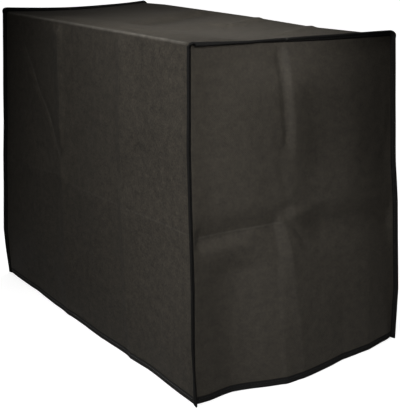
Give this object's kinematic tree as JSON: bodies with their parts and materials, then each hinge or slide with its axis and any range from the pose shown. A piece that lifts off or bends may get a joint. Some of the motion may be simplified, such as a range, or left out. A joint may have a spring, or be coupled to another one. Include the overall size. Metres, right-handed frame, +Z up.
{
  "type": "air fryer cover",
  "caption": "Box-shaped dust cover of dark non-woven cloth for a worktop air fryer oven, open underneath, with black tape along its end seams and hem.",
  "frame": {"origin": "the middle of the top's underside, where the top of the appliance holds the cover up", "axes": "+X along the cover to its right end, the front wall facing -Y, +Z up"},
  "size_m": [0.5458, 0.3082, 0.3965],
  "materials": {
    "nonwoven_cloth": "matt spun-bonded non-woven cloth, warm charcoal, with a fine mottle and soft creases",
    "binding_tape": "matt black non-woven tape with one row of stitches"
  },
  "bodies": {
    "root": {"body_panel": "nonwoven_cloth", "end_panel_right": "nonwoven_cloth", "end_panel_left": "nonwoven_cloth", "seam_binding_right": "binding_tape", "seam_binding_left": "binding_tape", "hem_binding_front": "binding_tape", "hem_binding_back": "binding_tape", "hem_binding_right": "binding_tape", "hem_binding_left": "binding_tape"}
  },
  "joints": []
}
